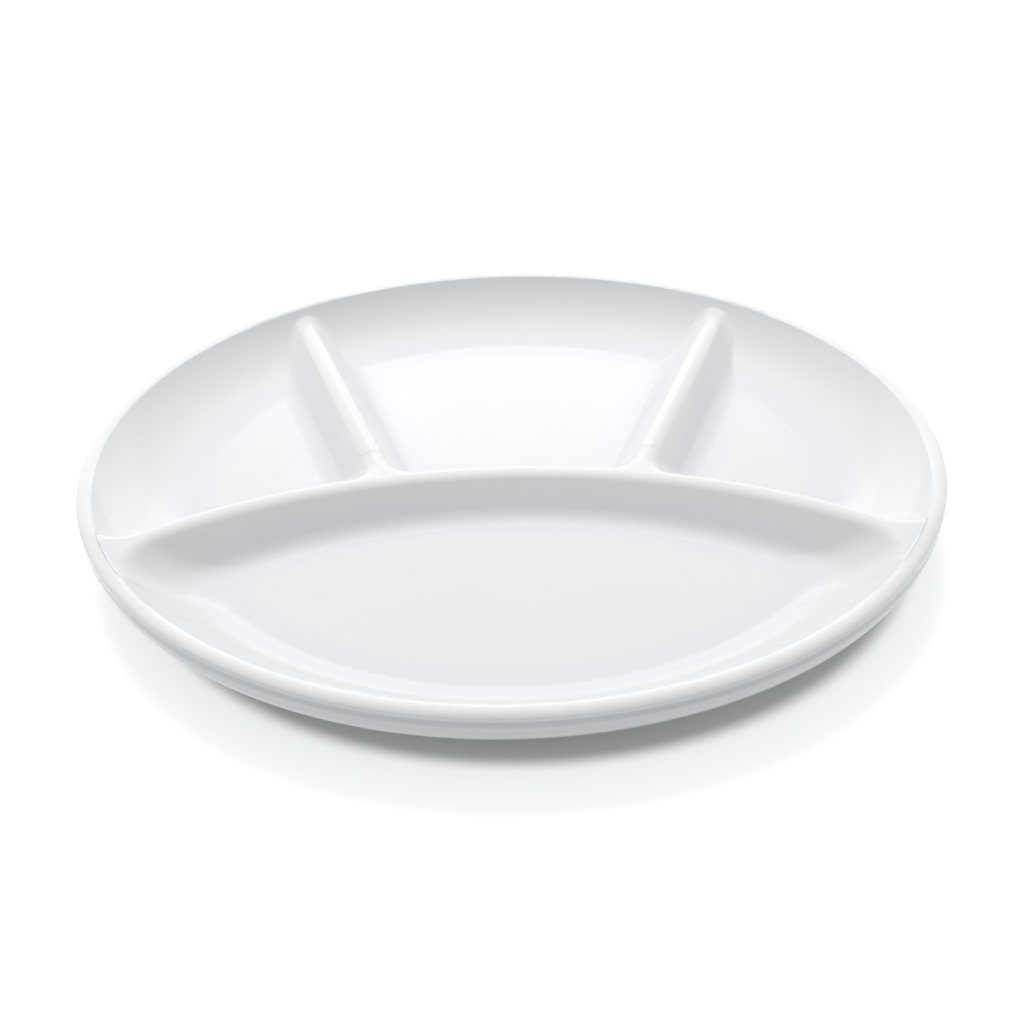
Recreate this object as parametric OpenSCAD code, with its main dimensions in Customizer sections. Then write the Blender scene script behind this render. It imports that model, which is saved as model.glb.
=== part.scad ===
// Divided compartment plate: one large front compartment and three behind it, in glazed ceramic.
// Millimetres, +Z up, the origin under the middle of the plate on the table, the large compartment toward -Y.

/* [Plate] */
// Outside diameter at the widest part of the rim
plate_d = 250; // [220:1:280]
// Height of the rim above the table
plate_h = 23.5; // [22:0.5:30]
// Depth of the compartments below the rim
well_depth = 14.5; // [13.5:0.5:14.5]
// Thickness of the base under the compartments
base_t = 5.5; // [4:0.5:6.5]

/* [Rim and wall] */
// Radius of the rounded lip
lip_r = 2.6; // [2:0.1:3.2]
// Height of the rim band that carries the lip
rim_h = 6; // [5:0.5:8]
// Radius of the hollow curve from the base up to the lip
cove_r = 34; // [28:1:40]
// Radius of the outer shoulder under the lip
shoulder_r = 11; // [9:0.5:13]

/* [Dividers] */
// Drop of the divider crests below the rim
crest_drop = 3.5; // [3:0.25:4.5]
// Radius of the rounded divider crest
crest_r = 4.5; // [4.4:0.1:4.7]
// Half width of a divider at the base, with its hollow curve
divider_half_w = 15; // [14.5:0.1:15.5]
// Radius of the hollow curve at the foot of a divider
divider_cove_r = 8; // [7.5:0.5:8]
// Height of the square edge where that hollow curve ends on the base
toe_h = 0.25; // [0.2:0.05:0.5]
// Drop of the short dividers' crests below the cross divider's crest
short_drop = 0.7; // [0.5:0.1:1.5]
// Bend radius of the cross divider, seen from above
cross_bend_r = 156; // [152:1:200]
// Distance of the cross divider's crown in front of the middle of the plate
cross_set = 3.5; // [0:0.5:12]
// Distance of each short divider from the middle, at the level of the cross divider's crown
short_set = 37.5; // [34:0.5:42]
// Turn of each short divider away from straight back
short_turn = 17.5; // [12:0.1:22]

/* [Foot] */
// Outside diameter of the foot ring where it meets the base
foot_d = 182; // [150:1:184]
// Width of the foot ring where it meets the base
foot_w = 9; // [7:0.5:12]
// Slope of the foot ring's sides
foot_draft = 18; // [5:1:25]
// Radius of the foot ring's lower edges
foot_edge_r = 1.1; // [0.6:0.1:1.4]

/* [Hidden] */
$fn = 96;
plate_r = plate_d / 2;
floor_z = plate_h - well_depth;
base_z = floor_z - base_t;
rim_z = plate_h - rim_h;
crest_z = plate_h - crest_drop;
divider_h = crest_z - floor_z;
foot_r = foot_d / 2;

// The lip's arc and the wall's hollow arc touch each other
lip_c = [plate_r - lip_r, plate_h - lip_r];
cove_rise = floor_z + cove_r - lip_c[1];
floor_r = lip_c[0] - sqrt(pow(cove_r + lip_r, 2) - pow(cove_rise, 2));
cove_c = [floor_r, floor_z + cove_r];
lip_touch = cove_c + (lip_c - cove_c) * cove_r / (cove_r + lip_r);

// The underside runs straight from the base's edge to the shoulder's arc
shoulder_c = [plate_r - shoulder_r, lip_c[1]];
base_edge = [floor_r, base_z];
shoulder_way = shoulder_c - base_edge;
under_slope = atan2(shoulder_way[1], shoulder_way[0]) - asin(shoulder_r / norm(shoulder_way));
shoulder_end = shoulder_c + shoulder_r * [sin(under_slope), -cos(under_slope)];

// The divider's flank touches the crest's arc on one side and the foot's hollow arc on the other
hollow_c = [divider_half_w, divider_cove_r];
toe_x = divider_half_w - sqrt(pow(divider_cove_r, 2) - pow(divider_cove_r - toe_h, 2));
function crest_centre(height) = [0, height - crest_r];
function flank_turn(way) = atan2(way[1], way[0]) - asin((crest_r + divider_cove_r) / norm(way));
function flank_out(height) =
    let (turn = flank_turn(hollow_c - crest_centre(height)))
    [-sin(turn), cos(turn)];

// The foot ring's lower edge touches its side and the table
foot_lean = base_z * tan(foot_draft);
foot_edge_x = foot_w / 2 - foot_lean + foot_edge_r * (tan(foot_draft) - 1 / cos(foot_draft));
foot_edge_c = [foot_edge_x, foot_edge_r];
foot_edge_end = foot_edge_c + foot_edge_r * [cos(foot_draft), -sin(foot_draft)];

// How far the dividers' sections reach under the base's top before they are cut to it
sink = 2;
// How far the sweeps run past the wall before they are cut to it
overrun = 20;
cross_half_angle = asin(min(0.95, (plate_r + overrun) / cross_bend_r));

// Sub-part to draw

// Section of the whole wall, from the base's edge to the lip
module shell_section() {
    difference() {
        union() {
            polygon([base_edge, shoulder_end, [plate_r, lip_c[1]], lip_c, lip_touch, [floor_r, floor_z]]);
            intersection() {
                translate(shoulder_c) circle(r = shoulder_r);
                translate([shoulder_c[0], shoulder_c[1] - shoulder_r]) square(shoulder_r);
            }
            translate(lip_c) circle(r = lip_r);
        }
        translate(cove_c) circle(r = cove_r);
    }
}

// Section of the space inside the wall, from the base to above the divider crests
module hollow_section() {
    translate([0, floor_z]) square([floor_r, well_depth]);
    intersection() {
        translate(cove_c) circle(r = cove_r);
        translate([floor_r, floor_z]) square([plate_r - floor_r, well_depth]);
    }
}

// Half of a divider's section of the given height, its crest on the axis
module divider_half_section(height) {
    crest_c = crest_centre(height);
    out = flank_out(height);
    difference() {
        union() {
            polygon([
                [0, -sink], [toe_x, -sink], [toe_x, toe_h],
                hollow_c - divider_cove_r * out, crest_c + crest_r * out, crest_c
            ]);
            intersection() {
                translate(crest_c) circle(r = crest_r);
                translate([0, crest_c[1] - crest_r]) square([crest_r, 2 * crest_r]);
            }
        }
        translate(hollow_c) circle(r = divider_cove_r);
    }
}

// Whole section of a divider of the given height
module divider_section(height) {
    divider_half_section(height);
    mirror([1, 0]) divider_half_section(height);
}

// Cross divider before it is cut to the base and the wall
module cross_sweep() {
    translate([0, -cross_set - cross_bend_r, floor_z])
        rotate([0, 0, 90 - cross_half_angle])
            rotate_extrude(angle = 2 * cross_half_angle)
                translate([cross_bend_r, 0]) divider_section(divider_h);
}

// Right short divider before it is cut to the base, the wall and the cross divider
module short_sweep() {
    translate([short_set, -cross_set, floor_z])
        rotate([90, 0, 180 - short_turn])
            linear_extrude(height = plate_r + overrun) divider_section(divider_h - short_drop);
}

// Space inside the wall as a solid
module hollow() {
    rotate_extrude() hollow_section();
}

// Half of the foot ring's section, from its middle out to its side, with a rounded lower edge
module foot_half_section() {
    polygon([[0, 0], [foot_edge_c[0], 0], foot_edge_c, foot_edge_end, [foot_w / 2, base_z], [0, base_z]]);
    translate(foot_edge_c) circle(r = foot_edge_r);
}

// Ring that the plate stands on
module foot_ring() {
    color("Linen")
        rotate_extrude()
            translate([foot_r - foot_w / 2, 0]) {
                foot_half_section();
                mirror([1, 0]) foot_half_section();
            }
}

// Flat base under the compartments
module base_disc() {
    color("WhiteSmoke")
        translate([0, 0, base_z]) cylinder(r = floor_r, h = base_t);
}

// Curved wall from the base's edge up to the rim band
module side_wall() {
    color("GhostWhite")
        rotate_extrude()
            intersection() {
                shell_section();
                square([plate_r, rim_z]);
            }
}

// Rim band with its rounded lip
module rim_bead() {
    color("White")
        rotate_extrude()
            intersection() {
                shell_section();
                translate([0, rim_z]) square([plate_r, rim_h]);
            }
}

// Bent divider between the large compartment and the three behind it
module cross_divider() {
    color("AliceBlue")
        intersection() {
            cross_sweep();
            hollow();
        }
}

// Short divider between the middle and the right compartment
module right_divider() {
    color("Azure")
        difference() {
            intersection() {
                short_sweep();
                hollow();
            }
            cross_sweep();
        }
}

// Short divider between the left and the middle compartment
module left_divider() {
    mirror([1, 0, 0]) right_divider();
}

foot_ring();
base_disc();
side_wall();
rim_bead();
cross_divider();
left_divider();
right_divider();
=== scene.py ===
"""Divided compartment plate in white glazed ceramic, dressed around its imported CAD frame."""

import logging
import math
from collections.abc import Callable, Sequence
from dataclasses import dataclass, field, replace
from enum import Enum

import bpy
import numpy as np
from bpy.types import Material, Node, NodeSocket, NodeTree, Object
from mathutils import Matrix, Vector


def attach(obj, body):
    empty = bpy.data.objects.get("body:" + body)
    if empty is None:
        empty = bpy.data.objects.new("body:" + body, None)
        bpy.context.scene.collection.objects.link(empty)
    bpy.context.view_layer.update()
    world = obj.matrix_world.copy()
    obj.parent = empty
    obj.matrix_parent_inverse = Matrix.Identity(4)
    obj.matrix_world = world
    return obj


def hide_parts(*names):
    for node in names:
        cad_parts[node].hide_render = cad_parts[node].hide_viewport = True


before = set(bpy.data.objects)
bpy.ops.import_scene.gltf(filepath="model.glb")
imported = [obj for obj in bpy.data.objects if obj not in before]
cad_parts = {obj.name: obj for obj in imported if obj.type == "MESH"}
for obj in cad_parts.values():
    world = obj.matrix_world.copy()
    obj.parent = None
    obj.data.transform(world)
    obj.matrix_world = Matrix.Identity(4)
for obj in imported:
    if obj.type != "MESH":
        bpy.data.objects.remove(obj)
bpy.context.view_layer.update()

LOG = logging.getLogger("divided_plate")
MM = 0.001
TINY = 1e-12
QUARTER = math.pi / 2.0
TURN_STEPS = 432

Array = np.ndarray
Pair = tuple[float, float]
Triple = tuple[float, float, float]
Colour = tuple[float, float, float, float]
Arc = tuple[Pair, float, float, float]
Plan = tuple[Array, Array]
Measure = Callable[[Array, Array, Array], Array]
Values = dict[str | int, object]

WHITE: Colour = (1.0, 1.0, 1.0, 1.0)


class Slot(Enum):
    """Material slots that the record gives."""

    GLAZE = "white_glaze"
    BARE = "bare_foot"


class Side(Enum):
    """Which way a short divider leans from the middle of the plate."""

    LEFT = "left"
    RIGHT = "right"


def smooth_step(value: Array, start: float, end: float) -> Array:
    """Cubic ease from 0 at start to 1 at end, flat outside: 3 t^2 - 2 t^3 with t the share of the way."""
    share = np.clip((value - start) / (end - start), 0.0, 1.0)
    return share * share * (3.0 - 2.0 * share)


def round_meet(first: Array, second: Array, radius: float | Array) -> Array:
    """Distance to the nearer of two borders, positive inside, with the corner between them rounded."""
    near = np.maximum(radius, np.minimum(first, second))
    return near - np.hypot(np.maximum(radius - first, 0.0), np.maximum(radius - second, 0.0))


def on_circle(centre: Pair, radius: float, angle: float) -> Pair:
    """Point of a circle at an angle from its right-hand side."""
    return centre[0] + radius * math.cos(angle), centre[1] + radius * math.sin(angle)


def grid_quads(number: Array) -> Array:
    """Faces of a grid of point numbers, four neighbours each."""
    corners = [number[:-1, :-1], number[:-1, 1:], number[1:, 1:], number[1:, :-1]]
    return np.stack(corners, axis=-1).reshape(-1, 4)


@dataclass(frozen=True)
class PlateSizes:
    """Sizes of the plate in millimetres: those of the solids, then those of the glazed surface alone."""

    plate_r: float = 125.0
    plate_h: float = 23.5
    well_depth: float = 14.5
    base_t: float = 5.5
    lip_r: float = 2.6
    rim_h: float = 6.0
    cove_r: float = 34.0
    shoulder_r: float = 11.0
    crest_drop: float = 3.5
    crest_r: float = 4.5
    divider_half_w: float = 15.0
    divider_cove_r: float = 8.0
    short_drop: float = 0.7
    cross_bend_r: float = 156.0
    cross_set: float = 3.5
    short_set: float = 37.5
    short_turn: float = math.radians(17.5)
    foot_r: float = 91.0
    foot_w: float = 9.0
    foot_draft: float = math.radians(18.0)
    foot_edge_r: float = 1.1

    front_corner_r: float = 14.0
    side_corner_r: float = 11.0
    back_corner_r: float = 0.01
    junction_r: float = 8.0
    crest_dip: float = 1.0
    crest_rise: float = 3.3
    crest_span: float = 100.0
    end_blend: float = 4.0

    @property
    def floor_z(self) -> float:
        """Height of the wells' floor above the table."""
        return self.plate_h - self.well_depth

    @property
    def base_z(self) -> float:
        """Height of the base's underside above the table."""
        return self.floor_z - self.base_t

    @property
    def rim_z(self) -> float:
        """Height of the rim band's lower face above the table."""
        return self.plate_h - self.rim_h

    @property
    def divider_h(self) -> float:
        """Height of the cross divider above the floor."""
        return self.well_depth - self.crest_drop

    @property
    def lip_c(self) -> Pair:
        """Radius and height of the middle of the lip's arc."""
        return self.plate_r - self.lip_r, self.plate_h - self.lip_r

    @property
    def floor_r(self) -> float:
        """Radius at which the flat floor turns up into the wall."""
        rise = self.floor_z + self.cove_r - self.lip_c[1]
        return self.lip_c[0] - math.sqrt((self.cove_r + self.lip_r) ** 2 - rise**2)

    @property
    def cove_c(self) -> Pair:
        """Radius and height of the middle of the wall's hollow arc."""
        return self.floor_r, self.floor_z + self.cove_r

    @property
    def cove_cut(self) -> float:
        """Angle on the hollow arc at which the wall gives way to the rim band."""
        return -QUARTER + math.acos((self.cove_r - (self.rim_z - self.floor_z)) / self.cove_r)

    @property
    def shoulder_c(self) -> Pair:
        """Radius and height of the middle of the shoulder's arc."""
        return self.plate_r - self.shoulder_r, self.lip_c[1]

    @property
    def shoulder_cut(self) -> float:
        """Angle on the shoulder's arc at which the wall gives way to the rim band."""
        return math.asin((self.rim_z - self.lip_c[1]) / self.shoulder_r)

    @property
    def under_slope(self) -> float:
        """Slope of the underside from the base's edge to the shoulder's arc, which it touches.

        Returns:
            The slope of the way to the arc's middle, less the angle whose sine is the arc's radius over the
            length of that way.
        """
        way_r = self.shoulder_c[0] - self.floor_r
        way_z = self.shoulder_c[1] - self.base_z
        return math.atan2(way_z, way_r) - math.asin(self.shoulder_r / math.hypot(way_r, way_z))


@dataclass(frozen=True)
class LipSection:
    """Section of the lip: a tight inner turn, a gently crowned top and a tight outer edge."""

    sizes: PlateSizes
    wall_lean: float = math.radians(53.3)
    crown_in: float = math.radians(25.0)
    crown_out: float = math.radians(40.0)
    turn_r: float = 0.8
    edge_r: float = 0.6
    turn_samples: int = 60
    crown_samples: int = 120

    @property
    def touch(self) -> Pair:
        """Radius and height at which the wall's hollow arc passes into the inner turn.

        Returns:
            The point of the hollow arc at which its slope is wall_lean.
        """
        s = self.sizes
        radius = s.floor_r + s.cove_r * math.sin(self.wall_lean)
        return radius, s.floor_z + s.cove_r * (1.0 - math.cos(self.wall_lean))

    def arcs(self) -> list[Arc]:
        """Arcs of the section from the wall out to the widest part, each touching the next.

        Returns:
            Centre, radius, first and last angle of the inner turn, the crown and the outer edge. The crown's
            radius is what carries the edge out to the plate's radius.
        """
        sin_in, sin_out = math.sin(self.crown_in), math.sin(self.crown_out)
        cos_in, cos_out = math.cos(self.crown_in), math.cos(self.crown_out)
        touch_r, touch_z = self.touch
        turn = (
            touch_r + self.turn_r * math.sin(self.wall_lean),
            touch_z - self.turn_r * math.cos(self.wall_lean),
        )
        room = self.sizes.plate_r - self.edge_r - turn[0] + self.turn_r * sin_in + self.edge_r * sin_out
        crown_r = room / (sin_in + sin_out)
        to_turn, to_edge = crown_r - self.turn_r, crown_r - self.edge_r
        crown = (turn[0] + to_turn * sin_in, turn[1] - to_turn * cos_in)
        edge = (crown[0] + to_edge * sin_out, crown[1] + to_edge * cos_out)
        return [
            (turn, self.turn_r, QUARTER + self.wall_lean, QUARTER + self.crown_in),
            (crown, crown_r, QUARTER + self.crown_in, QUARTER - self.crown_out),
            (edge, self.edge_r, QUARTER - self.crown_out, 0.0),
        ]

    def rise(self) -> Plan:
        """The lip from the wall up to the top of its crown.

        Returns:
            Radii and heights over the floor, both growing.
        """
        (turn, turn_r, start, middle), (crown, crown_r, _, _), _ = self.arcs()
        inner = np.linspace(start, middle, self.turn_samples)
        outer = np.linspace(middle, QUARTER, self.crown_samples)[1:]
        radius = np.concatenate([turn[0] + turn_r * np.cos(inner), crown[0] + crown_r * np.cos(outer)])
        height = np.concatenate([turn[1] + turn_r * np.sin(inner), crown[1] + crown_r * np.sin(outer)])
        return radius, height - self.sizes.floor_z


@dataclass(frozen=True)
class DividerSection:
    """Cross section of a divider: rounded crest, straight flank and a hollow curve onto the floor."""

    sizes: PlateSizes
    arc_samples: int = 18
    flank_samples: int = 6

    @property
    def lean(self) -> float:
        """Angle from upright of the line across the flank, at which both arcs touch it.

        Returns:
            The angle whose sine is the sum of both radii over the distance between the arcs' middles, less
            the slope of the way between them.
        """
        s = self.sizes
        way_x = s.divider_half_w
        way_z = s.divider_cove_r - s.divider_h + s.crest_r
        across = math.asin((s.crest_r + s.divider_cove_r) / math.hypot(way_x, way_z))
        return across - math.atan2(way_z, way_x)

    def samples(self) -> Array:
        """Distances from the crest line out to the foot on one side.

        Returns:
            Even angles on both arcs and even steps on the flank between them.
        """
        s = self.sizes
        crest = s.crest_r * np.sin(np.linspace(0.0, self.lean, self.arc_samples))
        hollow = s.divider_half_w - s.divider_cove_r * np.sin(np.linspace(self.lean, 0.0, self.arc_samples))
        flank = np.linspace(crest[-1], hollow[0], self.flank_samples)
        return np.concatenate([crest, flank[1:-1], hollow])

    def reach(self, level: Array) -> Array:
        """Half width of the section at each level above the floor.

        Args:
            level: Height above the floor in millimetres.

        Returns:
            The hollow arc's x below its end, the flank's x between, the crest arc's x above.
        """
        s = self.sizes
        crest_z = s.divider_h - s.crest_r
        out = np.array([math.sin(self.lean), math.cos(self.lean)])
        top = np.array([0.0, crest_z]) + s.crest_r * out
        foot = np.array([s.divider_half_w, s.divider_cove_r]) - s.divider_cove_r * out
        level = np.clip(level, 0.0, s.divider_h)
        inward = np.sqrt(np.maximum(s.divider_cove_r**2 - (s.divider_cove_r - level) ** 2, 0.0))
        hollow = s.divider_half_w - inward
        flank = foot[0] + (level - foot[1]) * (top[0] - foot[0]) / (top[1] - foot[1])
        crest = np.sqrt(np.maximum(s.crest_r**2 - (level - crest_z) ** 2, 0.0))
        return np.where(level < foot[1], hollow, np.where(level < top[1], flank, crest))


@dataclass(frozen=True)
class WellSurface:
    """The glazed inside of the plate as one height over the floor for every point of the plan.

    Plan positions run to the right in x and to the back in y. The zones are the first and last measure, in
    millimetres, over which one form passes into the next.
    """

    sizes: PlateSizes
    short_zone: Pair = (4.0, 18.0)
    back_zone: Pair = (26.0, 44.0)
    foot_tint_floor_zone: Pair = (9.0, 0.0)
    foot_tint_side_zone: Pair = (-13.0, -3.0)
    lift_zone: Pair = (0.3, 6.0)
    end_zone: Pair = (121.0, 117.0)
    least_blend: float = 1e-6
    slope_step: float = 0.02
    halvings: int = 40

    @property
    def section(self) -> DividerSection:
        """Section that every divider shares."""
        return DividerSection(self.sizes)

    @property
    def lip(self) -> LipSection:
        """Section of the lip above the wall."""
        return LipSection(self.sizes)

    def wall_height(self, radius: Array) -> Array:
        """Height of the turned wall over the floor.

        Args:
            radius: Distance from the plate's axis.

        Returns:
            0 on the floor, then the hollow arc, then the lip.
        """
        s = self.sizes
        out = np.clip(radius - s.floor_r, 0.0, s.cove_r)
        cove = s.cove_r - np.sqrt(np.maximum(s.cove_r**2 - out**2, 0.0))
        lip = np.interp(radius, *self.lip.rise())
        return np.where(radius < self.lip.touch[0], cove, lip)

    def wall_radius(self, level: Array) -> Array:
        """Radius of the turned wall, the inverse of wall_height.

        Args:
            level: Height over the floor.

        Returns:
            The hollow arc's radius below the lip, the lip's above.
        """
        s = self.sizes
        level = np.clip(level, 0.0, s.well_depth)
        cove = s.floor_r + np.sqrt(np.maximum(s.cove_r**2 - (s.cove_r - level) ** 2, 0.0))
        lip_r, lip_level = self.lip.rise()
        return np.where(level < lip_level[0], cove, np.interp(level, lip_level, lip_r))

    def cross_way(self, x: Array, y: Array) -> Array:
        """Distance behind the cross divider's crest, negative in front of it."""
        s = self.sizes
        return np.hypot(x, y + s.cross_set + s.cross_bend_r) - s.cross_bend_r

    def short_way(self, x: Array, y: Array) -> Array:
        """Distance outward from the nearer short divider's crest line, negative in the middle well."""
        s = self.sizes
        return (np.abs(x) - s.short_set) * math.cos(s.short_turn) - (y + s.cross_set) * math.sin(s.short_turn)

    def crest_height(self, x: Array, y: Array) -> Array:
        """Height of the nearest crest over the floor.

        Args:
            x, y: Plan position.

        Returns:
            The cross divider's, which rises with the square of x, passing into the short ones' level crest.
        """
        s = self.sizes
        cross = s.divider_h - s.crest_dip + s.crest_rise * (x / s.crest_span) ** 2
        short = s.divider_h - s.short_drop
        return cross + (short - cross) * smooth_step(self.cross_way(x, y), *self.short_zone)

    def corner(self, x: Array, y: Array) -> Array:
        """Radius of the well's corners at the wall.

        Args:
            x, y: Plan position.

        Returns:
            Large in front of the cross divider, smaller behind it, least at the back.
        """
        s = self.sizes
        cross = self.cross_way(x, y)
        behind = s.side_corner_r + (s.back_corner_r - s.side_corner_r) * smooth_step(cross, *self.back_zone)
        return np.where(cross > 0.0, behind, s.front_corner_r)

    def clearance(self, x: Array, y: Array, level: Array) -> Array:
        """Distance to the nearest divider at one level.

        Args:
            x, y: Plan position.
            level: Height over the floor at which the divider is cut.

        Returns:
            Positive beside the dividers, with the corners between two of them rounded.
        """
        reach = self.section.reach(level * self.sizes.divider_h / self.crest_height(x, y))
        cross = self.cross_way(x, y)
        beside = np.abs(self.short_way(x, y)) - reach
        behind = round_meet(np.abs(cross) - reach, beside, self.sizes.junction_r)
        return np.where(cross > 0.0, behind, -cross - reach)

    def room(self, x: Array, y: Array, level: Array) -> Array:
        """Distance to the sides of the well at one level, with its corners rounded."""
        inside = self.clearance(x, y, level)
        return round_meet(inside, self.wall_radius(level) - np.hypot(x, y), self.corner(x, y))

    def pool(self, x: Array, y: Array) -> Array:
        """How far the darker, bluer foot tint reaches: most at the foot of the wall and dividers, none on
        open floor.
        """
        inside = self.room(x, y, np.zeros_like(x))
        return smooth_step(inside, *self.foot_tint_floor_zone) * smooth_step(inside, *self.foot_tint_side_zone)

    def level_of(self, x: Array, y: Array, space: Measure) -> Array:
        """Level at which a measure of space turns positive, found by halving between floor and crest.

        Args:
            x, y: Plan position.
            space: Measure that is negative inside the body and positive above it.

        Returns:
            The floor where the measure is positive there, the crest where it never is.
        """
        low = np.zeros_like(x)
        high = self.crest_height(x, y)
        for _ in range(self.halvings):
            middle = 0.5 * (low + high)
            above = space(x, y, middle) > 0.0
            high = np.where(above, middle, high)
            low = np.where(above, low, middle)
        return np.where(space(x, y, np.zeros_like(x)) >= 0.0, 0.0, 0.5 * (low + high))

    def height(self, x: Array, y: Array) -> Array:
        """Height of the glazed surface over the floor.

        Args:
            x, y: Plan position.

        Returns:
            The higher of well side and wall, with k (1 - |d| / k)^2 / 4 added where a short divider runs
            out on the wall, d being how far the divider alone stands over the wall.
        """
        radius = np.hypot(x, y)
        wall = self.wall_height(radius)
        divider = self.level_of(x, y, self.clearance)
        raised = smooth_step(np.minimum(divider, wall), *self.lift_zone)
        at_back = smooth_step(self.cross_way(x, y), *self.back_zone) * smooth_step(radius, *self.end_zone)
        blend = np.maximum(self.sizes.end_blend * raised * at_back, self.least_blend)
        extra = 0.25 * blend * np.maximum(1.0 - np.abs(divider - wall) / blend, 0.0) ** 2
        return np.maximum(self.level_of(x, y, self.room), wall) + extra

    def normal(self, x: Array, y: Array) -> Array:
        """Unit normal of the glazed surface.

        Args:
            x, y: Plan position.

        Returns:
            (-dh/dx, -dh/dy, 1) made one long, the slopes from central differences of the height.
        """
        step = self.slope_step
        across = (self.height(x + step, y) - self.height(x - step, y)) / (2.0 * step)
        along = (self.height(x, y + step) - self.height(x, y - step)) / (2.0 * step)
        normal = np.stack([-across, -along, np.ones_like(x)], axis=-1)
        return normal / np.linalg.norm(normal, axis=-1, keepdims=True)


@dataclass
class Shell:
    """A closed mesh in the making: points in millimetres, faces, and a normal for each face corner."""

    points: Array
    faces: list[Array] = field(default_factory=list)
    normals: list[Array] = field(default_factory=list)
    masks: dict[str, Array] = field(default_factory=dict)

    def add(self, faces: Array, normals: Array) -> None:
        """Adds faces, one row of point numbers each, with a normal for every corner."""
        self.faces.append(faces)
        self.normals.append(normals)

    def add_flat(self, faces: Array) -> None:
        """Adds faces that are shaded by their own plane.

        Args:
            faces: Point numbers, one row per face.
        """
        first, second, third = (self.points[faces[:, k]] for k in (0, 1, 2))
        plane = np.cross(second - first, third - first)
        plane /= np.maximum(np.linalg.norm(plane, axis=1, keepdims=True), TINY)
        self.add(faces, np.repeat(plane[:, None, :], faces.shape[1], axis=1))

    def build(self, name: str) -> Object:
        """Makes the mesh object, with its corner normals and its masks.

        Args:
            name: Name of the object and its mesh.

        Returns:
            The object, at the origin and in metres.
        """
        mesh = bpy.data.meshes.new(name)
        rows = [row for block in self.faces for row in block.tolist()]
        mesh.from_pydata((self.points * MM).tolist(), [], rows)
        mesh.polygons.foreach_set("use_smooth", np.ones(len(mesh.polygons), dtype=bool))
        corners = np.concatenate([block.reshape(-1, 3) for block in self.normals])
        mesh.normals_split_custom_set(corners.tolist())
        for key, values in self.masks.items():
            mask = mesh.attributes.new(key, "FLOAT", "POINT")
            mask.data.foreach_set("value", values.astype(np.float32))
        mesh.validate()
        piece = bpy.data.objects.new(name, mesh)
        bpy.context.scene.collection.objects.link(piece)
        return piece


@dataclass(frozen=True)
class PaintedLightZones:
    """Lean of the rim's surface from level, in degrees, between which a painted highlight and a painted shade
    line are laid.
    """

    highlight_inner: Pair = (-53.0, -36.0)
    highlight_outer: Pair = (90.0, 70.0)
    shade_upper: Pair = (90.0, 92.0)
    shade_lower: Pair = (104.0, 97.0)


@dataclass(frozen=True)
class Run:
    """One stretch of a turned profile, with its outward normals, whether it takes painted light and whether
    it faces a well.
    """

    points: Array
    normals: Array
    painted_light: bool = False
    in_well: bool = False

    @staticmethod
    def line(start: Pair, end: Pair, steps: int) -> "Run":
        """Straight stretch.

        Args:
            start: Radius and height of its first point.
            end: Radius and height of its last point.
            steps: Number of equal steps.

        Returns:
            The stretch, its outward side on the left of the way from start to end.
        """
        share = np.linspace(0.0, 1.0, steps + 1)[:, None]
        first, last = np.array(start), np.array(end)
        way = (last - first) / np.linalg.norm(last - first)
        normal = np.array([-way[1], way[0]])
        return Run(first + (last - first) * share, np.tile(normal, (steps + 1, 1)))

    @staticmethod
    def arc(centre: Pair, radius: float, start: float, end: float, steps: int, hollow: bool = False) -> "Run":
        """Arc in equal steps of angle, its normals away from the centre, or toward it where it is hollow."""
        spoke = np.stack([wave(np.linspace(start, end, steps + 1)) for wave in (np.cos, np.sin)], axis=1)
        return Run(np.array(centre) + radius * spoke, -spoke if hollow else spoke)

    def with_painted_light(self) -> "Run":
        """The same stretch, marked to take a painted highlight on its upper side and a painted shade line
        under its outer edge.
        """
        return replace(self, painted_light=True)

    def welled(self) -> "Run":
        """The same stretch, marked as facing a well."""
        return replace(self, in_well=True)

    def masks(self) -> tuple[Array, Array, Array]:
        """Painted light at each point.

        Returns:
            A painted highlight on the upper side of a marked stretch; a painted shade line under its outer
            edge; and whether the point faces a well.
        """
        lean = np.degrees(np.arctan2(self.normals[:, 0], self.normals[:, 1]))
        zones = PaintedLightZones()
        # Painted highlight: the lip's upper side is laid whiter to stand in for its highlight.
        thin = smooth_step(lean, *zones.highlight_inner) * smooth_step(lean, *zones.highlight_outer)
        # Painted shade: a dark line under the lip's outer edge stands in for its shadow.
        sag = smooth_step(lean, *zones.shade_upper) * smooth_step(lean, *zones.shade_lower)
        return thin * self.painted_light, sag * self.painted_light, np.full(len(lean), self.in_well)


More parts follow.
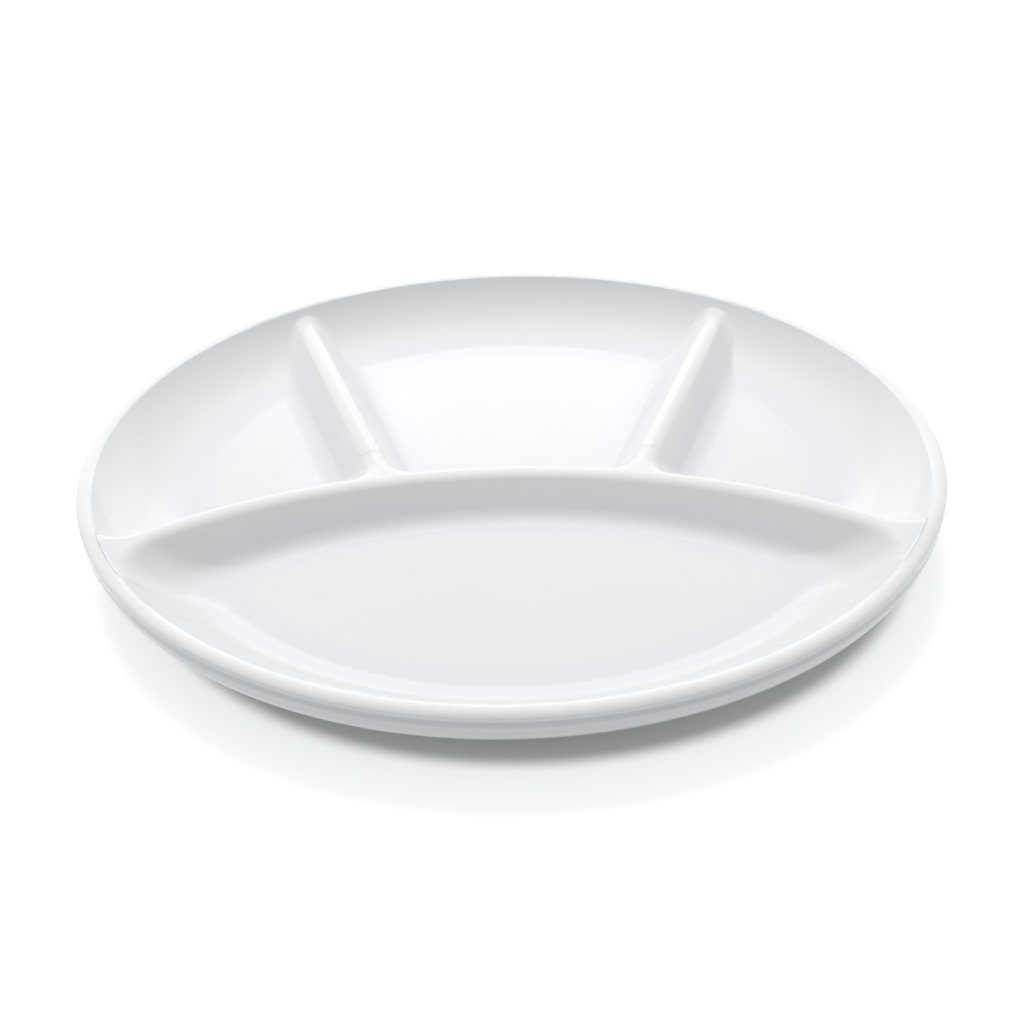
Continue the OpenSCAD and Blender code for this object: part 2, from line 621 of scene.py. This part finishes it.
@dataclass
class TurnedPiece:
    """A closed profile turned about the plate's axis."""

    runs: list[Run]
    surface: WellSurface
    steps: int = TURN_STEPS

    @property
    def turn(self) -> Plan:
        """Cosine and sine of each step of the turn."""
        angle = np.linspace(0.0, 2.0 * math.pi, self.steps, endpoint=False)
        return np.cos(angle), np.sin(angle)

    @staticmethod
    def chain(values: Sequence[Array]) -> Array:
        """Values of the runs one after another, the point that two runs share counted with the second."""
        return np.concatenate([*(value[:-1] for value in values), values[-1][-1:]])

    def shell(self) -> Shell:
        """Turns the profile: point (r, z) goes to (r cos a, r sin a, z) for each angle a round the axis.

        Returns:
            A closed shell whose poles are single points and whose last turn meets its first.
        """
        cos, sin = self.turn
        profile = self.chain([run.points for run in self.runs])
        if profile[0, 0] != 0.0:
            profile = profile[:-1]
        counts = np.where(profile[:, 0] < TINY, 1, self.steps)
        rings = np.split(np.arange(counts.sum()), np.cumsum(counts)[:-1])
        radius, height = np.repeat(profile, counts, axis=0).T
        step = np.concatenate([ring - ring[0] for ring in rings])
        points = np.stack([radius * cos[step], radius * sin[step], height], axis=1)
        masks = zip(*(run.masks() for run in self.runs))
        # Painted highlight and painted shade masks of the rim, and which points face a well.
        thin, sag, in_well = (np.repeat(self.chain(mask)[: len(profile)], counts) for mask in masks)
        pool = in_well * self.surface.pool(points[:, 0], points[:, 1])
        shell = Shell(points, masks={"thin": thin, "sag": sag, "pool": pool})
        ways = [normals for run in self.runs for normals in zip(run.normals[:-1], run.normals[1:])]
        for k, normals in enumerate(ways):
            self.add_band(shell, rings[k], rings[(k + 1) % len(rings)], normals)
        return shell

    def add_band(self, shell: Shell, here: Array, there: Array, normals: Plan) -> None:
        """Adds the band of faces between two rings of the turned profile.

        Args:
            shell: Shell that takes the faces.
            here: Point numbers of the first ring, one alone on the axis.
            there: Point numbers of the second ring, one alone on the axis.
            normals: Profile normals at the two rings.
        """
        cos, sin = self.turn
        first, second = (
            np.stack([out * cos, out * sin, np.full(self.steps, up)], axis=1) for out, up in normals
        )
        corners = [here, there, np.roll(there, -1), np.roll(here, -1)]
        shade = [first, second, np.roll(second, -1, axis=0), np.roll(first, -1, axis=0)]
        kept = [k for k, ring in enumerate(corners) if k < 2 or len(ring) > 1]
        faces = np.stack([np.broadcast_to(corners[k], self.steps) for k in kept], axis=1)
        shell.add(faces, np.stack([shade[k] for k in kept], axis=1))


@dataclass
class TurnedBody:
    """The turned parts of the plate: foot ring, base, wall and rim."""

    sizes: PlateSizes
    surface: WellSurface

    @property
    def cut(self) -> tuple[Pair, Pair]:
        """Inner and outer end of the level cut between the wall and the rim band.

        Returns:
            Radius and height of both: where the hollow arc and the shoulder's arc stand at rim_z.
        """
        s = self.sizes
        inner_r = float(self.surface.wall_radius(np.array(s.rim_z - s.floor_z)))
        outer_r = s.shoulder_c[0] + s.shoulder_r * math.cos(s.shoulder_cut)
        return (inner_r, s.rim_z), (outer_r, s.rim_z)

    def foot_ring(self) -> list[Run]:
        """Foot ring, bare of glaze.

        Returns:
            Sloped sides, rounded lower edges that touch them, and a flat resting face.
        """
        s = self.sizes
        half_w = s.foot_w / 2.0
        middle = s.foot_r - half_w
        lean = s.base_z * math.tan(s.foot_draft)
        edge = half_w - lean + s.foot_edge_r * (math.tan(s.foot_draft) - 1.0 / math.cos(s.foot_draft))
        outer, inner = (middle + edge, s.foot_edge_r), (middle - edge, s.foot_edge_r)
        outer_top, inner_top = (middle + half_w, s.base_z), (middle - half_w, s.base_z)
        outer_touch = on_circle(outer, s.foot_edge_r, -s.foot_draft)
        inner_touch = (2.0 * middle - outer_touch[0], outer_touch[1])
        return [
            Run.line(inner_top, outer_top, steps=4),
            Run.line(outer_top, outer_touch, steps=6),
            Run.arc(outer, s.foot_edge_r, -s.foot_draft, -QUARTER, steps=8),
            Run.line((outer[0], 0.0), (inner[0], 0.0), steps=6),
            Run.arc(inner, s.foot_edge_r, -QUARTER, s.foot_draft - math.pi, steps=8),
            Run.line(inner_touch, inner_top, steps=6),
        ]

    def base_disc(self) -> list[Run]:
        """Base under the wells.

        Returns:
            Flat floor above, upright edge, flat underside below.
        """
        s = self.sizes
        return [
            Run.line((0.0, s.floor_z), (s.floor_r, s.floor_z), steps=96).welled(),
            Run.line((s.floor_r, s.floor_z), (s.floor_r, s.base_z), steps=4),
            Run.line((s.floor_r, s.base_z), (0.0, s.base_z), steps=24),
        ]

    def side_wall(self) -> list[Run]:
        """Wall between the base and the rim band.

        Returns:
            Hollow arc inside, shoulder's arc and straight underside outside.
        """
        s = self.sizes
        under_end = s.under_slope - QUARTER
        touch = on_circle(s.shoulder_c, s.shoulder_r, under_end)
        return [
            Run.arc(s.cove_c, s.cove_r, -QUARTER, s.cove_cut, steps=48, hollow=True).welled(),
            Run.line(*self.cut, steps=4),
            Run.arc(s.shoulder_c, s.shoulder_r, s.shoulder_cut, under_end, steps=32),
            Run.line(touch, (s.floor_r, s.base_z), steps=16),
            Run.line((s.floor_r, s.base_z), (s.floor_r, s.floor_z), steps=4),
        ]

    def rim_bead(self) -> list[Run]:
        """Rim band with its lip.

        Returns:
            Top of the hollow arc, the lip's arcs, a short upright edge and the top of the shoulder's arc.
        """
        s = self.sizes
        lip = self.surface.lip
        edge_z = lip.arcs()[-1][0][1]
        inner, outer = self.cut
        return [
            Run.arc(s.cove_c, s.cove_r, s.cove_cut, lip.wall_lean - QUARTER, steps=16, hollow=True),
            # The lip's arcs and the shoulder's top take the painted highlight and the painted shade line.
            *(Run.arc(*arc, steps=14).with_painted_light() for arc in lip.arcs()),
            Run.line((s.plate_r, edge_z), (s.plate_r, s.lip_c[1]), steps=4),
            Run.arc(s.shoulder_c, s.shoulder_r, 0.0, s.shoulder_cut, steps=10).with_painted_light(),
            Run.line(outer, inner, steps=4),
        ]


@dataclass
class Divider:
    """Shared making of a divider: the raised part of the glazed surface over a strip of the plan."""

    sizes: PlateSizes
    surface: WellSurface
    edge_w: float = 1.4
    end_r: float = 121.0
    skin: float = 0.02
    bed: float = 0.05
    stations: int = 240
    edge_steps: int = 16
    flare_zone: Pair = (76.0, 98.0)
    flare_room: float = 1.0
    # Painted highlight on the crests: its share, and how high on the crest it is laid.
    crest_highlight: float = 0.25
    crest_zone: Pair = (0.85, 1.0)
    rise_zone: Pair = (1.0, 5.0)
    least_rise: float = 0.5

    @property
    def strip_w(self) -> float:
        """Half width of the strip away from the ends."""
        return self.sizes.divider_half_w + self.edge_w

    def offsets(self, half_w: Array) -> Array:
        """Distances from the crest line, one row per station, from the right edge to the left.

        Args:
            half_w: Half width of the strip at each station.

        Returns:
            Fixed distances over the section, then even steps out to the half width.
        """
        toe_w = self.sizes.divider_half_w
        inner = np.tile(self.surface.section.samples(), (len(half_w), 1))
        outer = toe_w + (half_w[:, None] - toe_w) * np.linspace(0.0, 1.0, self.edge_steps + 1)[1:]
        side = np.concatenate([inner, outer], axis=1)
        return np.concatenate([-side[:, :0:-1], side], axis=1)

    def flare(self, radius: Array, corner_r: float) -> Array:
        """Extra half width of the strip where the corners at the wall are rounded."""
        start, end = self.flare_zone
        return (corner_r + self.flare_room) * smooth_step(radius, start - corner_r, end - corner_r)

    def plan(self) -> Plan:
        """Plan positions of the strip's grid, stations by offsets; each divider gives its own."""
        raise NotImplementedError

    def masks(self, x: Array, y: Array, level: Array, wall: Array) -> dict[str, Array]:
        """Painted highlight, painted shade and foot tint on the strip.

        Args:
            x, y: Plan position.
            level: Height of the glazed surface over the floor.
            wall: Height of the turned wall over the floor.

        Returns:
            Each mask by name: a painted highlight on the crest where it stands clear of the wall, no painted
                shade, and the foot tint in the hollows.
        """
        rise = np.maximum(self.surface.crest_height(x, y) - wall, self.least_rise)
        on_crest = smooth_step((level - wall) / rise, *self.crest_zone)
        return {
            # Painted highlight: the crests are laid whiter to stand in for their highlight.
            "thin": self.crest_highlight * on_crest * smooth_step(rise, *self.rise_zone),
            # No painted shade on the dividers.
            "sag": np.zeros_like(level),
            "pool": self.surface.pool(x, y),
        }

    def shell(self) -> Shell:
        """Raises the strip to the glazed surface and closes it on the turned body beneath.

        Returns:
            A closed shell: the surface plus a thin skin above, the turned body less a thin bed below, and
            an edge round both.
        """
        grid_x, grid_y = self.plan()
        x, y = grid_x.ravel(), grid_y.ravel()
        level = self.surface.height(x, y)
        wall = self.surface.wall_height(np.hypot(x, y))
        top = np.stack([x, y, self.sizes.floor_z + level + self.skin], axis=1)
        bottom = np.stack([x, y, self.sizes.floor_z + wall - self.bed], axis=1)
        masks = {key: np.tile(value, 2) for key, value in self.masks(x, y, level, wall).items()}
        shell = Shell(np.concatenate([top, bottom]), masks=masks)
        number = np.arange(x.size).reshape(grid_x.shape)
        quads = grid_quads(number)
        shell.add(quads, self.surface.normal(x, y)[quads])
        shell.add_flat(quads[:, ::-1] + x.size)
        rim = np.concatenate([number[0, :-1], number[:-1, -1], number[-1, :0:-1], number[:0:-1, 0]])
        following = np.roll(rim, -1)
        shell.add_flat(np.stack([following, rim, rim + x.size, following + x.size], axis=1))
        return shell


@dataclass
class CrossDivider(Divider):
    """Bent divider between the large well and the three behind it."""

    def plan(self) -> Plan:
        """Strip along the bend: angle a and offset q give ((R - q) sin a, (R - q) cos a) from its middle.

        Returns:
            Plan positions; each offset runs from wall to wall, where its distance from the axis is end_r.
        """
        s = self.sizes
        centre = s.cross_set + s.cross_bend_r
        share = np.linspace(-1.0, 1.0, self.stations)
        crest = self.end_angle(np.zeros(1), centre) * share
        crest_radius = np.hypot(s.cross_bend_r * np.sin(crest), s.cross_bend_r * np.cos(crest) - centre)
        offset = self.offsets(self.strip_w + self.flare(crest_radius, s.front_corner_r))
        angle = share[:, None] * self.end_angle(offset, centre)
        bend = s.cross_bend_r - offset
        return bend * np.sin(angle), bend * np.cos(angle) - centre

    def end_angle(self, offset: Array, centre: float) -> Array:
        """Angle round the bend's middle at which the strip reaches end_r, from the law of cosines."""
        bend = self.sizes.cross_bend_r - offset
        return np.arccos((bend**2 + centre**2 - self.end_r**2) / (2.0 * centre * bend))


@dataclass
class ShortDivider(Divider):
    """Straight divider from the cross divider back to the wall."""

    side: Side = Side.RIGHT
    stations: int = 130
    join_room: float = 0.5
    join_zone: Pair = (2.0, 3.0)

    def plan(self) -> Plan:
        """Strip along the crest line: from the cross divider's strip to the wall, both cut to their curves.

        Returns:
            Plan positions; each offset runs straight from strip_w behind the bend to end_r from the axis.
        """
        s = self.sizes
        share = np.linspace(0.0, 1.0, self.stations)
        way = np.array([math.sin(s.short_turn), math.cos(s.short_turn)])
        across = np.array([way[1], -way[0]])
        foot = np.array([s.short_set, -s.cross_set])
        begin, end = self.ends(foot, way, across, np.zeros(1))
        crest = foot + (begin + (end - begin) * share)[:, None] * way
        behind = self.surface.cross_way(crest[:, 0], crest[:, 1])
        toe_w = s.divider_half_w
        joined = smooth_step(behind, toe_w + self.join_zone[0], toe_w + s.junction_r + self.join_zone[1])
        join = (s.junction_r + self.join_room) * (1.0 - joined)
        half_w = self.strip_w + join + self.flare(np.hypot(crest[:, 0], crest[:, 1]), s.back_corner_r)
        offset = self.offsets(half_w)
        begin, end = self.ends(foot, way, across, offset)
        along = begin + (end - begin) * share[:, None]
        x = foot[0] + offset * across[0] + along * way[0]
        y = foot[1] + offset * across[1] + along * way[1]
        if self.side is Side.LEFT:
            return -x[:, ::-1], y[:, ::-1]
        return x, y

    def ends(self, foot: Array, way: Array, across: Array, offset: Array) -> Plan:
        """Both ends of the lines beside the crest.

        Args:
            foot: Plan position of the crest line's first point.
            way: Direction of the crest line.
            across: Direction across it.
            offset: Distance of each line from the crest line.

        Returns:
            Distance along the way at which each line leaves a circle of radius r, -h + sqrt(h^2 - d^2 + r^2)
            for a start at distance d and h along the way: the cross divider's strip, then the wall.
        """
        s = self.sizes
        bend_c = np.array([0.0, -s.cross_set - s.cross_bend_r])
        reached = []
        for start, radius in ((foot - bend_c, s.cross_bend_r + self.strip_w), (foot, self.end_r)):
            from_x = start[0] + offset * across[0]
            from_y = start[1] + offset * across[1]
            half = from_x * way[0] + from_y * way[1]
            reached.append(-half + np.sqrt(half**2 - (from_x**2 + from_y**2 - radius**2)))
        return reached[0], reached[1]


def set_inputs(node: Node, values: Values) -> None:
    """Sets or joins a node's inputs.

    Args:
        node: The node.
        values: A plain value or another node's output for each input, by its name or number.
    """
    for key, value in values.items():
        if isinstance(value, NodeSocket):
            node.id_data.links.new(value, node.inputs[key])
        else:
            node.inputs[key].default_value = value


def add_node(tree: NodeTree, kind: str, inputs: Values | None = None, **settings: object) -> Node:
    """Adds a shader node.

    Args:
        tree: Tree that takes the node.
        kind: Blender's name for the node after its common first part.
        inputs: What its inputs take.
        **settings: The node's own settings.

    Returns:
        The new node.
    """
    node = tree.nodes.new("ShaderNode" + kind)
    for key, value in settings.items():
        setattr(node, key, value)
    set_inputs(node, inputs or {})
    return node


def add_ramp(tree: NodeTree, value: NodeSocket, limits: Pair, ends: Pair, ease: str = "LINEAR") -> NodeSocket:
    """Carries a value from one range to another.

    Args:
        tree: Tree that takes the node.
        value: The value.
        limits: First and last value that it comes from.
        ends: What it becomes at those two.
        ease: Blender's name for the way between them.

    Returns:
        The carried value.
    """
    keys = ("Value", "From Min", "From Max", "To Min", "To Max")
    inputs = dict(zip(keys, (value, *limits, *ends)))
    return add_node(tree, "MapRange", inputs, interpolation_type=ease).outputs["Result"]


def lay_over(tree: NodeTree, under: NodeSocket | Colour, tint: Colour, mask: NodeSocket) -> NodeSocket:
    """A tint laid over a colour as far as a mask says."""
    mix = add_node(tree, "Mix", {"Factor": mask, "A": under, "B": tint}, data_type="RGBA")
    return mix.outputs["Result"]


def new_material(name: str) -> tuple[Material, NodeTree, Node]:
    """Makes a material.

    Args:
        name: Name of the material.

    Returns:
        The material, its tree of nodes and its Principled shader.
    """
    material = bpy.data.materials.new(name)
    material.use_nodes = True
    return material, material.node_tree, material.node_tree.nodes["Principled BSDF"]


class NodeGroups:
    """Shader effects that several finishes share, each built once."""

    EFFECTS = ("Cloud", "Speck", "Ripple")
    SPECK_EDGE: Pair = (0.05, 0.13)

    @classmethod
    def speckle(cls) -> NodeTree:
        """Soft clouds, fine specks and ripples over the surface.

        Returns:
            A group with Cloud, Speck and Ripple values, each with a scale of its own.
        """
        name = "clay_clouds"
        tree = bpy.data.node_groups.get(name)
        if tree:
            return tree
        tree = bpy.data.node_groups.new(name, "ShaderNodeTree")
        tree.interface.new_socket("Vector", in_out="INPUT", socket_type="NodeSocketVector")
        for key in cls.EFFECTS:
            tree.interface.new_socket(key + " Scale", in_out="INPUT", socket_type="NodeSocketFloat")
        for key in cls.EFFECTS:
            tree.interface.new_socket(key, in_out="OUTPUT", socket_type="NodeSocketFloat")
        source = tree.nodes.new("NodeGroupInput").outputs
        sink = tree.nodes.new("NodeGroupOutput")
        on_cloud, on_speck, on_ripple = (
            {"Vector": source["Vector"], "Scale": source[key + " Scale"]} for key in cls.EFFECTS
        )
        cloud = add_node(tree, "TexNoise", {**on_cloud, "Detail": 3.0, "Roughness": 0.55})
        speck = add_node(tree, "TexVoronoi", on_speck, feature="F1")
        ripple = add_node(tree, "TexNoise", {**on_ripple, "Detail": 1.0})
        dots = add_ramp(tree, speck.outputs["Distance"], cls.SPECK_EDGE, (1.0, 0.0), ease="SMOOTHSTEP")
        set_inputs(sink, {"Cloud": cloud.outputs["Fac"], "Speck": dots, "Ripple": ripple.outputs["Fac"]})
        return tree


@dataclass(frozen=True)
class Finish:
    """What both finishes share: clouds, specks and ripples on Object coordinates."""

    slot: Slot
    ending: str
    body: Colour
    scales: Triple
    roughness: Pair
    bump_strength: float
    bump_depth: float

    def start(self) -> tuple[Material, NodeTree, Node, Node]:
        """Starts the material, with the ripples as its bump.

        Returns:
            Material, tree of nodes, Principled shader and placed group.
        """
        material, tree, shader = new_material(self.slot.value)
        scales = {key + " Scale": scale for key, scale in zip(NodeGroups.EFFECTS, self.scales)}
        place = add_node(tree, "TexCoord").outputs["Object"]
        clouds = add_node(tree, "Group", {"Vector": place, **scales}, node_tree=NodeGroups.speckle())
        bump = add_node(tree, "Bump", {"Strength": self.bump_strength, "Distance": self.bump_depth})
        set_inputs(bump, {"Height": clouds.outputs["Ripple"]})
        set_inputs(shader, {"Normal": bump.outputs["Normal"]})
        return material, tree, shader, clouds


@dataclass(frozen=True)
class GlazeFinish(Finish):
    """White gloss glaze: painted highlight on crests and lip, painted shade under the rim, bluer tint in
    hollows.
    """

    slot: Slot = Slot.GLAZE
    ending: str = "_glazed"
    body: Colour = (0.86, 0.865, 0.88, 1.0)
    scales: Triple = (28.0, 95.0, 55.0)
    roughness: Pair = (0.1, 0.16)
    bump_strength: float = 0.12
    bump_depth: float = 0.0006
    # Painted highlight colour, laid on the lip and crests.
    thin: Colour = WHITE
    # Darker, bluer tint at the foot of the wall and dividers.
    pool: Colour = (0.82, 0.84, 0.875, 1.0)
    # Painted shade colour for the line under the rim's outer edge.
    sag: Colour = (0.66, 0.68, 0.72, 1.0)
    speck: Colour = (0.62, 0.6, 0.57, 1.0)
    mask_share: float = 0.85
    speck_share: float = 0.06
    cloud_limits: Pair = (0.3, 0.7)
    ior: float = 1.55
    light_depth: float = 0.003
    light_reach: Triple = (1.0, 1.0, 1.0)

    def material(self) -> Material:
        """Builds the glaze.

        Returns:
            The material: a painted highlight, the foot tint and a painted shade line laid on by their masks,
                then faint specks.
            Light passes a little way into it under the painted highlight's mask, on the lip and crests.
        """
        material, tree, shader, clouds = self.start()
        # Painted highlight, foot tint and painted shade, each laid on by its mask.
        tints = {"thin": self.thin, "pool": self.pool, "sag": self.sag}
        masks = {key: add_node(tree, "Attribute", attribute_name=key).outputs["Fac"] for key in tints}
        layers = [(masks[key], tint, self.mask_share) for key, tint in tints.items()]
        layers.append((clouds.outputs["Speck"], self.speck, self.speck_share))
        colour: NodeSocket | Colour = self.body
        for mask, tint, share in layers:
            part = add_node(tree, "Math", {0: mask, 1: share}, operation="MULTIPLY")
            colour = lay_over(tree, colour, tint, part.outputs[0])
        rough = add_ramp(tree, clouds.outputs["Cloud"], self.cloud_limits, self.roughness)
        set_inputs(shader, {"Base Color": colour, "Roughness": rough, "IOR": self.ior})
        set_inputs(shader, {"Subsurface Scale": self.light_depth, "Subsurface Radius": self.light_reach})
        # Subsurface follows the painted highlight's mask, so light passes into the lip and crests.
        set_inputs(shader, {"Subsurface Weight": masks["thin"]})
        return material


@dataclass(frozen=True)
class BareFinish(Finish):
    """Bare fired body: matt, faintly warm, with fine grit."""

    slot: Slot = Slot.BARE
    ending: str = "_bare"
    body: Colour = (0.82, 0.8, 0.75, 1.0)
    scales: Triple = (60.0, 700.0, 2200.0)
    roughness: Pair = (0.7, 0.9)
    bump_strength: float = 0.35
    bump_depth: float = 0.0002
    stain: Colour = (0.66, 0.62, 0.56, 1.0)
    stain_limits: Pair = (0.4, 0.75)
    stain_share: Pair = (0.0, 0.6)

    def material(self) -> Material:
        """Builds the bare body.

        Returns:
            The material: stained in clouds, rough by its grit.
        """
        material, tree, shader, clouds = self.start()
        stained = add_ramp(tree, clouds.outputs["Cloud"], self.stain_limits, self.stain_share)
        rough = add_ramp(tree, clouds.outputs["Ripple"], (0.0, 1.0), self.roughness)
        colour = lay_over(tree, self.body, self.stain, stained)
        set_inputs(shader, {"Base Color": colour, "Roughness": rough})
        return material


@dataclass
class Studio:
    """Pale floor running up into a backdrop, soft lamps and the camera at the photograph's angle."""

    camera_at: Triple = (0.00577, -0.48642, 0.30334)
    camera_aim: Triple = (0.00035, -0.03048, 0.0209)
    camera_roll: float = math.radians(-1.531)
    lens: float = 67.64
    sensor_w: float = 36.0
    clip: Pair = (0.01, 50.0)
    floor_half: float = 3.0
    back_y: float = 1.4
    back_h: float = 0.8
    bend_r: float = 0.4
    grid_steps: int = 24
    paper: Colour = (0.75, 0.75, 0.75, 1.0)
    # Centre, edge and strength of the floor's glow, which is dimmed round the plate as a painted shadow.
    shade_at: Triple = (0.0035, -0.003, 0.0)
    shade_edge: Pair = (0.1085, 0.116)
    glow: Pair = (0.075, 0.59)
    world_light: Pair = (0.46, 1.0)

    def build(self) -> None:
        """Makes the stage, the lamps, the world and the camera."""
        self.backdrop()
        self.lamps()
        self.world()
        self.camera()
        view = bpy.context.scene.view_settings
        view.view_transform = "Standard"

    def backdrop(self) -> None:
        """Floor and backdrop: a profile of floor, quarter bend and upright, carried sideways."""
        angle = np.linspace(-QUARTER, 0.0, self.grid_steps + 1)
        bend_y = self.back_y - self.bend_r
        flat = np.linspace(-self.floor_half, bend_y, self.grid_steps)[:-1]
        depth = np.concatenate([flat, bend_y + self.bend_r * np.cos(angle), [self.back_y]])
        bend_z = self.bend_r + self.bend_r * np.sin(angle)
        height = np.concatenate([np.zeros_like(flat), bend_z, [self.back_h]])
        across = np.linspace(-self.floor_half, self.floor_half, self.grid_steps + 1)
        x, y = np.meshgrid(across, depth, indexing="ij")
        z = np.broadcast_to(height, x.shape)
        points = np.stack([x, y, z], axis=-1).reshape(-1, 3)
        quads = grid_quads(np.arange(len(points)).reshape(x.shape).T)
        mesh = bpy.data.meshes.new("studio_floor")
        mesh.from_pydata(points.tolist(), [], quads.tolist())
        mesh.polygons.foreach_set("use_smooth", np.ones(len(quads), dtype=bool))
        floor = bpy.data.objects.new("studio_floor", mesh)
        bpy.context.scene.collection.objects.link(floor)
        mesh.materials.append(self.floor_material())

    def floor_material(self) -> Material:
        """White paper.

        Returns:
            A matt material with a light of its own for what the camera and reflections see, dimmed near the
            plate as a painted shadow laid over the plate's real one.
        """
        material, tree, shader = new_material("studio_paper")
        path = add_node(tree, "LightPath").outputs
        rays = {0: path["Is Camera Ray"], 1: path["Is Glossy Ray"]}
        seen = add_node(tree, "Math", rays, operation="MAXIMUM")
        place = add_node(tree, "TexCoord").outputs["Object"]
        # Painted shadow: the floor's glow is dimmed round the plate to shape its contact shadow.
        away = add_node(tree, "VectorMath", {0: place, 1: self.shade_at}, operation="DISTANCE")
        painted_shadow_glow = add_ramp(tree, away.outputs["Value"], self.shade_edge, self.glow, ease="SMOOTHSTEP")
        glow = add_node(tree, "Math", {0: seen.outputs[0], 1: painted_shadow_glow}, operation="MULTIPLY")
        set_inputs(shader, {"Base Color": self.paper, "Roughness": 1.0, "Specular IOR Level": 0.0})
        set_inputs(shader, {"Emission Color": WHITE, "Emission Strength": glow.outputs[0]})
        return material

    @staticmethod
    def lamp(name: str, at: Triple, size: Pair, power: float, mirrored: bool = False) -> None:
        """One soft lamp pointed at the plate.

        Args:
            name: Name of the lamp.
            at: Where it stands.
            size: Width and height in metres.
            power: Power in watts.
            mirrored: Whether the glaze mirrors it.
        """
        light = bpy.data.lights.new(name, "AREA")
        light.shape = "RECTANGLE"
        light.size, light.size_y = size
        light.energy = power
        piece = bpy.data.objects.new(name, light)
        piece.location = at
        piece.rotation_euler = (-Vector(at)).to_track_quat("-Z", "Y").to_euler()
        piece.visible_glossy = mirrored
        bpy.context.scene.collection.objects.link(piece)

    def lamps(self) -> None:
        """Large soft lamp above and behind, a fill in front, and a small one that the glaze mirrors."""
        self.lamp("overhead_softbox", at=(-0.12, 0.62, 1.0), size=(0.8, 0.8), power=10.3)
        self.lamp("front_fill", at=(0.0, -1.2, 0.9), size=(1.5, 1.5), power=1.0)
        self.lamp("back_window", at=(-0.034, 1.31, 0.727), size=(0.42, 0.16), power=0.13, mirrored=True)

    def world(self) -> None:
        """Dim even light from all round, white where the camera sees it."""
        world = bpy.data.worlds.new("studio_world")
        world.use_nodes = True
        tree = world.node_tree
        path = add_node(tree, "LightPath").outputs
        strength = add_ramp(tree, path["Is Camera Ray"], (0.0, 1.0), self.world_light)
        set_inputs(tree.nodes["Background"], {"Color": WHITE, "Strength": strength})
        bpy.context.scene.world = world

    def camera(self) -> None:
        """Camera at the photograph's place, aim, roll and angle of view."""
        data = bpy.data.cameras.new("photo_camera")
        data.lens = self.lens
        data.sensor_width = self.sensor_w
        data.clip_start, data.clip_end = self.clip
        piece = bpy.data.objects.new("photo_camera", data)
        at = Vector(self.camera_at)
        turn = (Vector(self.camera_aim) - at).to_track_quat("-Z", "Y").to_matrix()
        roll = Matrix.Rotation(self.camera_roll, 3, "Z")
        piece.matrix_world = Matrix.Translation(at) @ (turn @ roll).to_4x4()
        bpy.context.scene.collection.objects.link(piece)
        bpy.context.scene.camera = piece


@dataclass
class DividedPlate:
    """The whole plate: turned body and dividers, each piece standing for its own node."""

    sizes: PlateSizes = PlateSizes()

    def build(self) -> None:
        """Makes every piece, dresses it and sets it on the frame."""
        surface = WellSurface(self.sizes)
        body = TurnedBody(self.sizes, surface)
        bare, glaze = BareFinish(), GlazeFinish()
        materials = {finish.slot: finish.material() for finish in (glaze, bare)}
        pieces: list[tuple[str, Finish, TurnedPiece | Divider]] = [
            ("foot_ring", bare, TurnedPiece(body.foot_ring(), surface)),
            ("base_disc", glaze, TurnedPiece(body.base_disc(), surface)),
            ("side_wall", glaze, TurnedPiece(body.side_wall(), surface)),
            ("rim_bead", glaze, TurnedPiece(body.rim_bead(), surface)),
            ("cross_divider", glaze, CrossDivider(self.sizes, surface)),
            ("left_divider", glaze, ShortDivider(self.sizes, surface, side=Side.LEFT)),
            ("right_divider", glaze, ShortDivider(self.sizes, surface, side=Side.RIGHT)),
        ]
        for node, finish, maker in pieces:
            slot = finish.slot
            piece = maker.shell().build(node + finish.ending)
            piece.data.materials.append(materials[slot])
            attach(piece, "root")
            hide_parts(node)
            LOG.info("%s stands for %s with %d faces", piece.name, node, len(piece.data.polygons))


def main() -> None:
    """Builds the plate and the studio."""
    logging.basicConfig(level=logging.INFO, format="%(name)s: %(message)s")
    DividedPlate().build()
    Studio().build()


if __name__ == "__main__":
    main()
